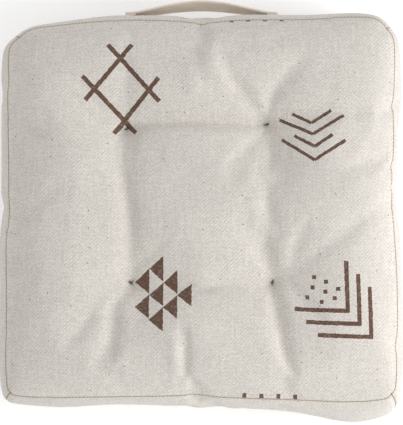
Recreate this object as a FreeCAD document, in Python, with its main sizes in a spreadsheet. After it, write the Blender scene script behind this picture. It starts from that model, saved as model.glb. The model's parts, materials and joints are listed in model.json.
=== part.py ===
import FreeCAD, Part
import math
import os

import Sketcher

# A square boxed floor cushion, lying flat. Millimetres and degrees. The origin is the centre of
# the face that it rests on, +Z is up, and the carrying handle is on the +Y side.

PARTS_FOLDER = "parts"
GRID_CELLS = 36  # spacing of the height samples across the crowned panel
SHEET_COLUMNS = "ABC"

SIZES = (
    ("overall_width", 450, "widest size from left to right, across the bulging border strips"),
    ("overall_depth", 440, "the same from front to back, without the handle"),
    ("border_bulge", 8, "how far a border strip swells past its two seams"),
    ("border_height", 76, "seam to seam height of a border strip"),
    ("corner_radius", 26, "plan radius of the stuffed corners at the seam line"),
    ("fabric", 1, "thickness of the cotton canvas"),
    ("bottom_rise", 8, "height of the bottom seam above the floor"),
    ("bottom_margin", 42, "width of the bottom panel's sloping rim"),
    ("crown", 20, "rise of the top panel above the top seam"),
    ("clearance", 0.3, "gap between the filling and its cover"),
    ("tuft_spacing_x", 157, "left to right distance of the tufts"),
    ("tuft_spacing_y", 176, "front to back distance of the tufts"),
    ("tuft_depth", 26, "how deep a tuft pulls the top panel in"),
    ("tuft_spread", 42, "radius over which a top dimple fades out"),
    ("bottom_dimple_depth", 12, "how deep a tuft pulls the bottom panel in"),
    ("bottom_dimple_radius", 30, "radius of a bottom dimple at the floor"),
    ("bottom_dimple_flat", 7, "radius of a bottom dimple at its deepest"),
    ("tie_thickness", 1.2, "diameter of the tufting twine"),
    ("tie_stitch", 7, "distance between the two strands of a tuft tie"),
    ("tie_bend", 1.1, "radius of the twine's bends"),
    ("tie_play", 0.3, "room round the twine in its needle holes"),
    ("knot", 1.7, "radius of a tie's knot"),
    ("thread", 0.7, "diameter of the sewing thread"),
    ("thread_gap", 0.1, "gap between the sewing thread and the canvas"),
    ("handle_length", 172, "end to end length of the handle"),
    ("handle_tab", 12, "length of each folded and sewn end"),
    ("handle_grip", 76, "length of the handle's middle, which swings as one"),
    ("webbing_width", 25, "width of the cotton webbing"),
    ("webbing_thickness", 2, "thickness of the cotton webbing"),
    ("handle_bow", 12, "how far the loop stands out from its sewn ends"),
    ("handle_bow_at_grip", 8, "the same at the two ends of the swinging middle"),
    ("handle_droop", 28, "angle that the loop hangs below level"),
    ("tack_height", 19, "length of a bar tack across the webbing"),
    ("tack_width", 1.4, "width of a bar tack"),
    ("tack_proud", 0.6, "thickness of a bar tack on the webbing"),
)

# Lengths that several sub-parts share, as expressions on the sheet's cells.
SEAM_X = "(sizes.overall_width / 2 - sizes.border_bulge)"
SEAM_Y = "(sizes.overall_depth / 2 - sizes.border_bulge)"
TOP_SEAM = "(sizes.bottom_rise + sizes.border_height)"
BORDER_MIDDLE = "(sizes.bottom_rise + sizes.border_height / 2)"
BORDER_RADIUS = (
    "((pow(sizes.border_height / 2; 2) + pow(sizes.border_bulge; 2)) / (2 * sizes.border_bulge))"
)
THREAD_OFFSET = "(sizes.thread / 2 + sizes.thread_gap)"
TUFT_X = "(sizes.tuft_spacing_x / 2)"
TUFT_Y = "(sizes.tuft_spacing_y / 2)"
STRAND = "(sizes.tie_stitch / 2)"
HANDLE_HALF = "(sizes.handle_length / 2)"
GRIP_HALF = "(sizes.handle_grip / 2)"
HINGE_Y = "(sizes.overall_depth / 2 + sizes.clearance + sizes.webbing_thickness * 3 / 2)"

# Each border strip is made as the front one is, and turned about +Z: its turn, and the half
# sizes of the seam line along it and across it.
SIDES = {
    "front": (0, SEAM_X, SEAM_Y),
    "right": (90, SEAM_Y, SEAM_X),
    "back": (180, SEAM_X, SEAM_Y),
    "left": (270, SEAM_Y, SEAM_X),
}
# Side of X, side of Y, and the direction of the corner from +X.
CORNERS = {
    "back_right": (1, 1, 45),
    "back_left": (-1, 1, 135),
    "front_left": (-1, -1, 225),
    "front_right": (1, -1, 315),
}
# Side of X, side of Y, and the turn of the tuft's stitch about +Z.
TUFTS = {
    "back_right": (1, 1, 20),
    "back_left": (-1, 1, 65),
    "front_left": (-1, -1, 35),
    "front_right": (1, -1, 80),
}
HANDLE_ENDS = {"left": -1, "right": 1}


def make_sizes(doc):
    """The spreadsheet that drives every sub-part."""
    sizes = doc.addObject("Spreadsheet::Sheet", "sizes")
    for row, (name, number, meaning) in enumerate(SIZES, start=1):
        for column, text in zip(SHEET_COLUMNS, (name, str(number), meaning)):
            sizes.set(f"{column}{row}", text)
        sizes.setAlias(f"B{row}", name)
    doc.recompute()
    return sizes


doc = FreeCAD.newDocument("floor_cushion")
sizes = make_sizes(doc)


def measure(expression):
    """The number that an expression on the sheet's cells gives now."""
    return float(sizes.evalExpression(expression))


def place(thing, x="0", y="0", z="0", turn="0", axis=(0, 0, 1)):
    """Binds a sub-part's or tool's Placement to expressions on the sheet."""
    rotation = FreeCAD.Rotation(FreeCAD.Vector(*axis), measure(turn))
    thing.Placement = FreeCAD.Placement(FreeCAD.Vector(), rotation)
    for letter, expression in zip("xyz", (x, y, z)):
        thing.setExpression(f"Placement.Base.{letter}", expression)
    if measure(turn):
        thing.setExpression("Placement.Rotation.Angle", turn)


def new_body(label):
    body = doc.addObject("PartDesign::Body", label)
    body.Label = label
    return body


def new_sketch(body, name, plane, height="0"):
    """A sketch on one of the body's own origin planes, shifted along its normal."""
    sketch = body.newObject("Sketcher::SketchObject", f"{body.Name}_{name}")
    planes = {f.Role: f for f in body.Origin.OriginFeatures}
    sketch.AttachmentSupport = [(planes[plane], "")]
    sketch.MapMode = "FlatFace"
    sketch.setExpression("AttachmentOffset.Base.z", height)
    return sketch


def drive(sketch, name, expression, *constraint):
    """Adds a dimension to a sketch and binds it to the sheet."""
    number = sketch.addConstraint(Sketcher.Constraint(*constraint, measure(expression)))
    sketch.renameConstraint(number, name)
    sketch.setExpression(f"Constraints.{name}", expression)


def line(x1, y1, x2, y2):
    return Part.LineSegment(FreeCAD.Vector(x1, y1), FreeCAD.Vector(x2, y2))


def arc(x, y, radius, start, end):
    """A counter-clockwise arc, from one angle in degrees to another."""
    circle = Part.Circle(FreeCAD.Vector(x, y), FreeCAD.Vector(0, 0, 1), radius)
    return Part.ArcOfCircle(circle, math.radians(start), math.radians(end))


START, END, CENTRE, ORIGIN = 1, 2, 3, -1  # Sketcher's numbers for a curve's points


def add_tangent_chain(sketch, curves, closed):
    """Adds curves that each run smoothly into the next. All of them run counter-clockwise."""
    numbers = [sketch.addGeometry(curve, False) for curve in curves]
    following = numbers[1:] + numbers[:1] if closed else numbers[1:]
    for this, after in zip(numbers, following):
        sketch.addConstraint(Sketcher.Constraint("Tangent", this, END, after, START))
    return numbers


def rounded_rectangle(sketch, half_x, low, high, radius):
    """A closed rectangle with round corners, centred on the sketch's vertical axis."""
    x, bottom, top, r = (measure(size) for size in (half_x, low, high, radius))
    curves = [
        line(-x + r, bottom, x - r, bottom),
        arc(x - r, bottom + r, r, -90, 0),
        line(x, bottom + r, x, top - r),
        arc(x - r, top - r, r, 0, 90),
        line(x - r, top, -x + r, top),
        arc(-x + r, top - r, r, 90, 180),
        line(-x, top - r, -x, bottom + r),
        arc(-x + r, bottom + r, r, 180, 270),
    ]
    bottom_line, corner, right, corner_2, top_line, corner_3, left, corner_4 = (
        add_tangent_chain(sketch, curves, closed=True)
    )
    for level in (bottom_line, top_line):
        sketch.addConstraint(Sketcher.Constraint("Horizontal", level))
    for upright in (right, left):
        sketch.addConstraint(Sketcher.Constraint("Vertical", upright))
    for other in (corner_2, corner_3, corner_4):
        sketch.addConstraint(Sketcher.Constraint("Equal", corner, other))
    drive(sketch, "radius", radius, "Radius", corner)
    drive(sketch, "right", half_x, "DistanceX", ORIGIN, START, right, START)
    drive(sketch, "left", half_x, "DistanceX", left, START, ORIGIN, START)
    drive(sketch, "low", low, "DistanceY", ORIGIN, START, bottom_line, START)
    drive(sketch, "high", high, "DistanceY", ORIGIN, START, top_line, START)


def seam_outline(body, name, grow, radius, height):
    """The seam line's level outline, with every side moved out by grow, centred on Z."""
    sketch = new_sketch(body, name, "XY_Plane", height)
    half_x, half_y = f"({SEAM_X} + {grow})", f"({SEAM_Y} + {grow})"
    rounded_rectangle(sketch, half_x, f"-{half_y}", half_y, radius)
    return sketch


def circle_at(sketch, x, y, radius):
    number = sketch.addGeometry(
        Part.Circle(
            FreeCAD.Vector(measure(x), measure(y)), FreeCAD.Vector(0, 0, 1), measure(radius)
        ),
        False,
    )
    drive(sketch, "radius", radius, "Radius", number)
    drive(sketch, "across", x, "DistanceX", ORIGIN, START, number, CENTRE)
    drive(sketch, "up", y, "DistanceY", ORIGIN, START, number, CENTRE)


def sweep(body, profile, spine):
    """A solid made by moving the profile along the spine."""
    pipe = body.newObject("PartDesign::AdditivePipe", f"{body.Name}_sweep")
    pipe.Profile = profile
    pipe.Spine = spine
    return pipe


def loft(body, kind, name, first, last):
    """A straight-sided solid, added or cut, between two level outlines."""
    feature = body.newObject(f"PartDesign::{kind}", f"{body.Name}_{name}")
    feature.Profile = first
    feature.Sections = [last]
    feature.Ruled = True
    return feature


# ---------------------------------------------------------------- canvas border strips


def border_section(body, across):
    """The strip's cross-section: two parallel arcs, one fabric thickness apart."""
    sketch = new_sketch(body, "section", "YZ_Plane")
    half, low, high = measure(across), measure("sizes.bottom_rise"), measure(TOP_SEAM)
    bulge, cloth = measure("sizes.border_bulge"), measure("sizes.fabric")
    rise = (high - low) / 2
    radius = (rise**2 + bulge**2) / (2 * bulge)
    spread = math.degrees(math.asin(rise / radius))
    centre_y, centre_z = radius - bulge - half, (low + high) / 2
    outer = sketch.addGeometry(arc(centre_y, centre_z, radius, 180 - spread, 180 + spread), False)
    foot = sketch.addGeometry(line(-half, low, -half + cloth, low), False)
    inner = sketch.addGeometry(
        arc(centre_y + cloth, centre_z, radius, 180 - spread, 180 + spread), False
    )
    head = sketch.addGeometry(line(-half + cloth, high, -half, high), False)
    joins = (
        (outer, END, foot, START),
        (foot, END, inner, END),
        (inner, START, head, START),
        (head, END, outer, START),
    )
    for join in joins:
        sketch.addConstraint(Sketcher.Constraint("Coincident", *join))
    for level in (foot, head):
        sketch.addConstraint(Sketcher.Constraint("Horizontal", level))
    sketch.addConstraint(Sketcher.Constraint("Equal", foot, head))
    sketch.addConstraint(Sketcher.Constraint("Equal", outer, inner))
    sketch.addConstraint(Sketcher.Constraint("Vertical", outer, START, outer, END))
    drive(sketch, "cloth", "sizes.fabric", "DistanceX", foot, START, foot, END)
    drive(sketch, "seam", across, "DistanceX", outer, END, ORIGIN, START)
    drive(sketch, "low", "sizes.bottom_rise", "DistanceY", ORIGIN, START, foot, START)
    drive(sketch, "height", "sizes.border_height", "DistanceY", outer, END, outer, START)
    drive(sketch, "swell", BORDER_RADIUS, "Radius", outer)
    return sketch


def border_path(body, along, across):
    """One side of the seam line, from the middle of one corner to the middle of the next."""
    sketch = new_sketch(body, "path", "XY_Plane", "sizes.bottom_rise")
    half, r = measure(across), measure("sizes.corner_radius")
    run = measure(along) - r
    curves = [
        arc(-run, r - half, r, 225, 270),
        line(-run, -half, run, -half),
        arc(run, r - half, r, 270, 315),
    ]
    left, side, right = add_tangent_chain(sketch, curves, closed=False)
    sketch.addConstraint(Sketcher.Constraint("Horizontal", side))
    sketch.addConstraint(Sketcher.Constraint("Equal", left, right))
    drive(sketch, "radius", "sizes.corner_radius", "Radius", left)
    drive(sketch, "seam", across, "DistanceY", side, START, ORIGIN, START)
    half_run = f"{along} - sizes.corner_radius"
    drive(sketch, "left_run", half_run, "DistanceX", left, CENTRE, ORIGIN, START)
    drive(sketch, "right_run", half_run, "DistanceX", ORIGIN, START, right, CENTRE)
    half_corner = "sizes.corner_radius * sin(45deg)"
    drive(sketch, "left_end", half_corner, "DistanceX", left, START, left, CENTRE)
    drive(sketch, "right_end", half_corner, "DistanceX", right, CENTRE, right, END)
    return sketch


def border_strip(side):
    turn, along, across = SIDES[side]
    body = new_body(f"border_{side}")
    sweep(body, border_section(body, across), border_path(body, along, across))
    place(body, turn=str(turn))
    return body


# ---------------------------------------------------------------- top and bottom panels


def top_height(x, y):
    """Height of the top panel's outer face: a crown with four tufted dimples."""
    across, along = x / measure(SEAM_X), y / measure(SEAM_Y)
    crown = measure("sizes.crown") * (1 - across**4) * (1 - along**4)
    depth, spread = measure("sizes.tuft_depth"), measure("sizes.tuft_spread")
    tuft_x, tuft_y = measure(TUFT_X), measure(TUFT_Y)
    pulled = sum(
        depth * math.exp(-((x - side_x * tuft_x) ** 2 + (y - side_y * tuft_y) ** 2) / spread**2)
        for side_x, side_y, _ in TUFTS.values()
    )
    from_edge = (1 - across**2) * (1 - along**2)
    return measure(f"{TOP_SEAM} + sizes.fabric") + crown - pulled * min(1, 2 * from_edge)


def crowned_face(grow):
    """The top panel's outer face, as one smooth surface that reaches past the seam by grow."""
    half_x, half_y = measure(SEAM_X) + grow, measure(SEAM_Y) + grow
    steps = [2 * number / GRID_CELLS - 1 for number in range(GRID_CELLS + 1)]
    points = [
        [FreeCAD.Vector(u * half_x, v * half_y, top_height(u * half_x, v * half_y)) for v in steps]
        for u in steps
    ]
    surface = Part.BSplineSurface()
    surface.interpolate(points)
    return surface.toShape()


def crowned_slab(label, grow, drop, depth):
    """The layer between two copies of the crowned face, drop and drop + depth below it."""
    slab = doc.addObject("Part::Feature", label)
    face = crowned_face(grow)
    face.translate(FreeCAD.Vector(0, 0, -drop))
    slab.Shape = face.extrude(FreeCAD.Vector(0, 0, -depth))
    return slab


def seam_prism(label, high):
    """A level-ended prism inside the seam line, from the floor up to high."""
    body = new_body(label)
    pad = body.newObject("PartDesign::Pad", f"{label}_pad")
    pad.Profile = seam_outline(body, "outline", "0", "sizes.corner_radius", "0")
    pad.setExpression("Length", high)
    return body


def boolean(kind, label, base, tool):
    result = doc.addObject(f"Part::{kind}", label)
    result.Label = label
    result.Base = base
    result.Tool = tool
    return result


def needle_holes(label, play):
    """Two upright rods for each tuft, which open the holes that its twine runs through."""
    rods = []
    for corner, (side_x, side_y, turn) in TUFTS.items():
        for way in (-1, 1):
            rod = doc.addObject("Part::Cylinder", f"{label}_{corner}_{'left' if way < 0 else 'right'}")
            rod.setExpression("Radius", f"sizes.tie_thickness / 2 + {play}")
            rod.setExpression("Height", f"{TOP_SEAM} + sizes.crown")
            place(
                rod,
                x=f"{side_x} * {TUFT_X} + {way} * {STRAND} * cos({turn}deg)",
                y=f"{side_y} * {TUFT_Y} + {way} * {STRAND} * sin({turn}deg)",
            )
            rods.append(rod)
    holes = doc.addObject("Part::MultiFuse", label)
    holes.Shapes = rods
    return holes


def top_panel(holes):
    cloth = crowned_slab("top_panel_cloth", 0, 0, measure("sizes.fabric"))
    outline = seam_prism("top_panel_outline", f"{TOP_SEAM} + 2 * sizes.crown")
    trimmed = boolean("Common", "top_panel_trimmed", cloth, outline)
    return boolean("Cut", "top_panel", trimmed, holes)


def cone_at(body, kind, name, corner, low, extra):
    """A bottom dimple's cone under one tuft, added or cut, widened and raised by extra."""
    side_x, side_y, _ = TUFTS[corner]
    cone = body.newObject(f"PartDesign::{kind}", f"{body.Name}_{name}_{corner}")
    cone.setExpression("Radius1", f"sizes.bottom_dimple_radius + {extra}")
    cone.setExpression("Radius2", f"sizes.bottom_dimple_flat + {extra}")
    cone.setExpression("Height", "sizes.bottom_dimple_depth")
    place(cone, x=f"{side_x} * {TUFT_X}", y=f"{side_y} * {TUFT_Y}", z=low)
    return cone


def bottom_cloth():
    """The bottom panel before its needle holes: flat, with a sloping rim and four dimples."""
    body = new_body("bottom_panel_cloth")
    flat, radius = "-sizes.bottom_margin", "sizes.corner_radius"
    floor = seam_outline(body, "floor", flat, radius, "0")
    rim = seam_outline(body, "rim", "0", radius, "sizes.bottom_rise")
    loft(body, "AdditiveLoft", "shell", floor, rim)
    inner_floor = seam_outline(body, "inner_floor", flat, radius, "sizes.fabric")
    inner_rim_height = "sizes.bottom_rise + sizes.fabric"
    inner_rim = seam_outline(body, "inner_rim", "0", radius, inner_rim_height)
    loft(body, "SubtractiveLoft", "inside", inner_floor, inner_rim)
    for corner in TUFTS:
        cone_at(body, "AdditiveCone", "pull", corner, "sizes.fabric", "sizes.fabric")
    for corner in TUFTS:
        cone_at(body, "SubtractiveCone", "dent", corner, "0", "0")
    return body


def bottom_panel(holes):
    return boolean("Cut", "bottom_panel", bottom_cloth(), holes)


# ---------------------------------------------------------------- filling


INSET = "(sizes.fabric + sizes.clearance)"  # from the cover's outer face to the filling
FILLING_RIM = f"(sizes.bottom_rise + {INSET})"
FILLING_TOP = f"({TOP_SEAM} - {INSET})"
FILLING_SWELL = "(sizes.border_bulge - sizes.clearance)"


def filling_blank():
    """The filling's sides and floor: it fills the bulging border, and clears the bottom panel."""
    body = new_body("filling_blank")
    inward, radius = f"-{INSET}", f"(sizes.corner_radius - {INSET})"
    floor = seam_outline(body, "floor", "-sizes.bottom_margin", "sizes.corner_radius", INSET)
    rim = seam_outline(body, "rim", inward, radius, FILLING_RIM)
    loft(body, "AdditiveLoft", "base", floor, rim)
    pad = body.newObject("PartDesign::Pad", f"{body.Name}_core")
    pad.Profile = seam_outline(body, "core_outline", inward, radius, FILLING_RIM)
    pad.setExpression("Length", "sizes.border_height + sizes.crown")
    path = seam_outline(body, "swell_path", inward, radius, FILLING_RIM)
    sweep(body, swell_section(body), path)
    for corner in TUFTS:
        cone_at(body, "SubtractiveCone", "dent", corner, INSET, INSET)
    return body


def swell_section(body):
    """The part of the filling that swells past the seam line: a slice of a circle."""
    sketch = new_sketch(body, "swell", "XZ_Plane")
    edge_now = f"({SEAM_X} - {INSET})"
    chord_half = f"(({FILLING_TOP} - {FILLING_RIM}) / 2)"
    radius_now = f"((pow({chord_half}; 2) + pow({FILLING_SWELL}; 2)) / (2 * {FILLING_SWELL}))"
    edge, radius = measure(edge_now), measure(radius_now)
    low, high = measure(FILLING_RIM), measure(FILLING_TOP)
    spread = math.degrees(math.asin(measure(chord_half) / radius))
    centre = edge + measure(FILLING_SWELL) - radius
    curve = sketch.addGeometry(arc(centre, (low + high) / 2, radius, -spread, spread), False)
    chord = sketch.addGeometry(line(edge, high, edge, low), False)
    sketch.addConstraint(Sketcher.Constraint("Coincident", curve, END, chord, START))
    sketch.addConstraint(Sketcher.Constraint("Coincident", chord, END, curve, START))
    sketch.addConstraint(Sketcher.Constraint("Vertical", chord))
    drive(sketch, "edge", edge_now, "DistanceX", ORIGIN, START, chord, START)
    drive(sketch, "low", FILLING_RIM, "DistanceY", ORIGIN, START, chord, END)
    drive(sketch, "high", FILLING_TOP, "DistanceY", ORIGIN, START, chord, START)
    drive(sketch, "swell", radius_now, "Radius", curve)
    return sketch


def fibre_filling(holes):
    grow = measure("sizes.border_bulge")
    drop, depth = measure(INSET), measure(f"{TOP_SEAM} + sizes.crown")
    under_panel = crowned_slab("filling_crown", grow, drop, depth)
    shaped = boolean("Common", "filling_shaped", filling_blank(), under_panel)
    return boolean("Cut", "fibre_filling", shaped, holes)


# ---------------------------------------------------------------- tufts and seams


def tie_path(body, low, high):
    """The twine's route through the cushion: it starts and ends inside the knot on top."""
    sketch = new_sketch(body, "path", "XZ_Plane")
    x, bottom, top, r, play = (
        measure(size) for size in (STRAND, low, high, "sizes.tie_bend", "sizes.tie_play")
    )
    curves = [
        line(-play, top, r - x, top),
        arc(r - x, top - r, r, 90, 180),
        line(-x, top - r, -x, bottom + r),
        arc(r - x, bottom + r, r, 180, 270),
        line(r - x, bottom, x - r, bottom),
        arc(x - r, bottom + r, r, 270, 360),
        line(x, bottom + r, x, top - r),
        arc(x - r, top - r, r, 0, 90),
        line(x - r, top, play, top),
    ]
    start, bend, left, bend_2, under, bend_3, right, bend_4, finish = add_tangent_chain(
        sketch, curves, closed=False
    )
    for level in (start, under, finish):
        sketch.addConstraint(Sketcher.Constraint("Horizontal", level))
    for upright in (left, right):
        sketch.addConstraint(Sketcher.Constraint("Vertical", upright))
    for other in (bend_2, bend_3, bend_4):
        sketch.addConstraint(Sketcher.Constraint("Equal", bend, other))
    drive(sketch, "bend", "sizes.tie_bend", "Radius", bend)
    drive(sketch, "right", STRAND, "DistanceX", ORIGIN, START, right, START)
    drive(sketch, "left", STRAND, "DistanceX", left, START, ORIGIN, START)
    drive(sketch, "low", low, "DistanceY", ORIGIN, START, under, START)
    drive(sketch, "high", high, "DistanceY", ORIGIN, START, start, START)
    drive(sketch, "start", "sizes.tie_play", "DistanceX", start, START, ORIGIN, START)
    drive(sketch, "finish", "sizes.tie_play", "DistanceX", ORIGIN, START, finish, END)
    return sketch


def tuft_tie(corner):
    """A loop of twine through the cushion, with its knot on top."""
    side_x, side_y, turn = TUFTS[corner]
    body = new_body(f"tuft_tie_{corner}")
    tuft_top = top_height(side_x * measure(TUFT_X), side_y * measure(TUFT_Y))
    above = "(sizes.tie_thickness / 2 + sizes.tie_play)"
    high = f"({tuft_top:.3f} + {above})"
    path = tie_path(body, f"(sizes.bottom_dimple_depth - {above})", high)
    section = new_sketch(body, "section", "YZ_Plane", "-sizes.tie_play")
    circle_at(section, "0", high, "sizes.tie_thickness / 2")
    sweep(body, section, path)
    knot = body.newObject("PartDesign::AdditiveSphere", f"{body.Name}_knot")
    knot.setExpression("Radius", "sizes.knot")
    place(knot, z=f"{high} + sizes.knot / 2", turn="90")  # its seam clear of the twine
    place(body, x=f"{side_x} * {TUFT_X}", y=f"{side_y} * {TUFT_Y}", turn=str(turn))
    return body


def level_seam(label, height):
    """The line of sewing that joins a panel to the four border strips."""
    body = new_body(label)
    radius = f"(sizes.corner_radius + {THREAD_OFFSET})"
    path = seam_outline(body, "path", THREAD_OFFSET, radius, height)
    section = new_sketch(body, "section", "XZ_Plane")
    circle_at(section, f"({SEAM_X} + {THREAD_OFFSET})", height, "sizes.thread / 2")
    sweep(body, section, path)
    return body


def corner_seam(corner):
    """The sewing that joins two border strips, up the middle of a corner."""
    side_x, side_y, turn = CORNERS[corner]
    body = new_body(f"corner_seam_{corner}")
    reach_now = "(sizes.corner_radius + sizes.border_bulge)"
    ends_now = f"(sizes.border_height / 2 - 4 * {THREAD_OFFSET})"
    offset, radius = measure(THREAD_OFFSET), measure(BORDER_RADIUS)
    spread = math.degrees(math.asin(measure(ends_now) / (radius + offset)))
    centre_x, centre_z = measure(reach_now) - radius, measure(BORDER_MIDDLE)
    path = new_sketch(body, "path", "XZ_Plane")
    curve = path.addGeometry(arc(centre_x, centre_z, radius + offset, -spread, spread), False)
    drive(path, "swell", f"{BORDER_RADIUS} + {THREAD_OFFSET}", "Radius", curve)
    drive(path, "middle", BORDER_MIDDLE, "DistanceY", ORIGIN, START, curve, CENTRE)
    inward = f"{BORDER_RADIUS} - {reach_now}"
    drive(path, "inward", inward, "DistanceX", curve, CENTRE, ORIGIN, START)
    drive(path, "upper", ends_now, "DistanceY", curve, CENTRE, curve, END)
    drive(path, "lower", ends_now, "DistanceY", curve, START, curve, CENTRE)
    section = new_sketch(body, "section", "XY_Plane", BORDER_MIDDLE)
    circle_at(section, f"({reach_now} + {THREAD_OFFSET})", "0", "sizes.thread / 2")
    sweep(body, section, path)
    place(
        body,
        x=f"{side_x} * ({SEAM_X} - sizes.corner_radius)",
        y=f"{side_y} * ({SEAM_Y} - sizes.corner_radius)",
        turn=str(turn),
    )
    return body


# ---------------------------------------------------------------- handle


def handle_strap():
    """The middle of the webbing loop. It swings about its sewn ends, and hangs a little."""
    body = new_body("handle_strap")
    sketch = new_sketch(body, "bow", "XY_Plane")
    reach, bow = measure(GRIP_HALF), measure("sizes.handle_bow")
    rise = bow - measure("sizes.handle_bow_at_grip")
    thick = measure("sizes.webbing_thickness")
    radius = (reach**2 + rise**2) / (2 * rise)
    spread = math.degrees(math.asin(reach / radius))
    centre = bow - radius
    inner_y, outer_y = bow - rise - thick / 2, bow - rise + thick / 2
    inner = sketch.addGeometry(arc(0, centre - thick / 2, radius, 90 - spread, 90 + spread), False)
    left = sketch.addGeometry(line(-reach, inner_y, -reach, outer_y), False)
    outer = sketch.addGeometry(arc(0, centre + thick / 2, radius, 90 - spread, 90 + spread), False)
    right = sketch.addGeometry(line(reach, outer_y, reach, inner_y), False)
    joins = (
        (inner, END, left, START),
        (left, END, outer, END),
        (outer, START, right, START),
        (right, END, inner, START),
    )
    for join in joins:
        sketch.addConstraint(Sketcher.Constraint("Coincident", *join))
    for upright in (left, right):
        sketch.addConstraint(Sketcher.Constraint("Vertical", upright))
    sketch.addConstraint(Sketcher.Constraint("Equal", left, right))
    sketch.addConstraint(Sketcher.Constraint("Equal", inner, outer))
    rise_now = "(sizes.handle_bow - sizes.handle_bow_at_grip)"
    bend = f"(pow({GRIP_HALF}; 2) + pow({rise_now}; 2)) / (2 * {rise_now})"
    inner_edge = "(sizes.handle_bow_at_grip - sizes.webbing_thickness / 2)"
    drive(sketch, "bend", bend, "Radius", inner)
    drive(sketch, "thick", "sizes.webbing_thickness", "DistanceY", left, START, left, END)
    drive(sketch, "left", GRIP_HALF, "DistanceX", left, START, ORIGIN, START)
    drive(sketch, "right", GRIP_HALF, "DistanceX", ORIGIN, START, right, START)
    drive(sketch, "out", inner_edge, "DistanceY", ORIGIN, START, left, START)
    pad = body.newObject("PartDesign::Pad", "handle_strap_pad")
    pad.Profile = sketch
    pad.Midplane = True
    pad.setExpression("Length", "sizes.webbing_width")
    place(body, y=HINGE_Y, z=BORDER_MIDDLE, turn="-sizes.handle_droop", axis=(1, 0, 0))
    return body


def webbing_section(body, name, distance, out, droop):
    """The webbing's cross-section at a distance from the middle, turned down by the droop."""
    sketch = new_sketch(body, name, "YZ_Plane", distance)
    if measure(droop):
        sketch.AttachmentOffset = FreeCAD.Placement(
            sketch.AttachmentOffset.Base, FreeCAD.Rotation(FreeCAD.Vector(0, 0, 1), -measure(droop))
        )
        sketch.setExpression("AttachmentOffset.Rotation.Angle", f"-{droop}")
    inner_now, outer_now = (f"({out} {sign} sizes.webbing_thickness / 2)" for sign in "-+")
    edge_now = "(sizes.webbing_width / 2)"
    inner, outer, edge = measure(inner_now), measure(outer_now), measure(edge_now)
    low = sketch.addGeometry(line(inner, -edge, outer, -edge), False)
    far = sketch.addGeometry(line(outer, -edge, outer, edge), False)
    high = sketch.addGeometry(line(outer, edge, inner, edge), False)
    near = sketch.addGeometry(line(inner, edge, inner, -edge), False)
    sides = (low, far, high, near)
    for this, after in zip(sides, sides[1:] + sides[:1]):
        sketch.addConstraint(Sketcher.Constraint("Coincident", this, END, after, START))
    for number, way in zip(sides, ("Horizontal", "Vertical", "Horizontal", "Vertical")):
        sketch.addConstraint(Sketcher.Constraint(way, number))
    drive(sketch, "thick", "sizes.webbing_thickness", "DistanceX", low, START, low, END)
    drive(sketch, "out", outer_now, "DistanceX", ORIGIN, START, far, START)
    drive(sketch, "low", edge_now, "DistanceY", far, START, ORIGIN, START)
    drive(sketch, "high", edge_now, "DistanceY", ORIGIN, START, far, END)
    return sketch


def handle_end(side, way):
    """A sewn end of the handle: the folded tab, and the webbing that leaves it and twists."""
    body = new_body(f"handle_end_{side}")
    tab_start = f"({HANDLE_HALF} - sizes.handle_tab)"
    tab = body.newObject("PartDesign::AdditiveBox", f"{body.Name}_tab")
    tab.setExpression("Length", "sizes.handle_tab")
    tab.setExpression("Width", "2 * sizes.webbing_thickness")
    tab.setExpression("Height", "sizes.webbing_width")
    first = f"{tab_start}" if way > 0 else f"-{HANDLE_HALF}"
    place(tab, x=first, y="-1.5 * sizes.webbing_thickness", z="-sizes.webbing_width / 2")
    meeting = f"({GRIP_HALF} + sizes.clearance)"
    root = webbing_section(body, "root", f"{way} * {tab_start}", "0", "0")
    tip = webbing_section(
        body, "tip", f"{way} * {meeting}", "sizes.handle_bow_at_grip", "sizes.handle_droop"
    )
    loft(body, "AdditiveLoft", "twist", root, tip)
    place(body, y=HINGE_Y, z=BORDER_MIDDLE)
    return body


def handle_tack(side, way):
    """Two bar tacks of thread across a sewn end."""
    body = new_body(f"handle_tack_{side}")
    for name, share in (("outer", 0.25), ("inner", 0.75)):
        bar = body.newObject("PartDesign::AdditiveBox", f"{body.Name}_{name}")
        bar.setExpression("Length", "sizes.tack_width")
        bar.setExpression("Width", "sizes.tack_proud")
        bar.setExpression("Height", "sizes.tack_height")
        middle = f"{way} * ({HANDLE_HALF} - {share} * sizes.handle_tab)"
        place(
            bar,
            x=f"{middle} - sizes.tack_width / 2",
            y="sizes.webbing_thickness / 2",
            z="-sizes.tack_height / 2",
        )
    place(body, y=HINGE_Y, z=BORDER_MIDDLE)
    return body


# ---------------------------------------------------------------- assembly


def build():
    holes = needle_holes("needle_holes", "sizes.tie_play")
    made = [top_panel(holes), bottom_panel(holes), fibre_filling(holes)]
    made += [border_strip(side) for side in SIDES]
    made += [tuft_tie(corner) for corner in TUFTS]
    made.append(level_seam("top_seam", f"({TOP_SEAM} + sizes.fabric / 2)"))
    made.append(level_seam("bottom_seam", "(sizes.bottom_rise - sizes.fabric / 2)"))
    made += [corner_seam(corner) for corner in CORNERS]
    made.append(handle_strap())
    made += [handle_end(side, way) for side, way in HANDLE_ENDS.items()]
    made += [handle_tack(side, way) for side, way in HANDLE_ENDS.items()]
    return made


def check(made):
    """Stops if an object failed to recompute, or a sub-part has no valid solid."""
    for thing in doc.Objects:
        if "Invalid" in thing.State or "Error" in thing.State:
            raise RuntimeError(f"{thing.Label} did not recompute: {thing.State}")
    for thing in made:
        if thing.Shape.isNull() or not thing.Shape.isValid() or not thing.Shape.Solids:
            raise RuntimeError(f"{thing.Label} has no valid solid")


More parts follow.
